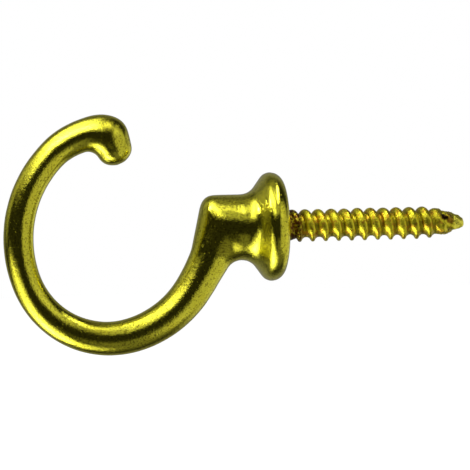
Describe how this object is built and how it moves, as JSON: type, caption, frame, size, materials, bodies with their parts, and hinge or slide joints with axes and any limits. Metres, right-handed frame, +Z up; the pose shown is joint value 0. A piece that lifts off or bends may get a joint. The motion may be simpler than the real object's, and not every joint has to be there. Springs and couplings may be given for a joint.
{
  "type": "screw-in tie-back curtain hook",
  "caption": "Cast brass curtain tie-back hook: round C-shaped arm with a turned-down lip, bell-shaped wall collar and an integral wood screw.",
  "frame": {"origin": "centre of the collar's flat seat, on the screw's axis", "axes": "+X along the screw, into the wall; +Z up, the way the hook's mouth opens"},
  "size_m": [0.061, 0.0142, 0.0314],
  "materials": {
    "brass": "polished casting, darker and duller on the screw"
  },
  "bodies": {
    "root": {"hook": "brass"}
  },
  "joints": []
}
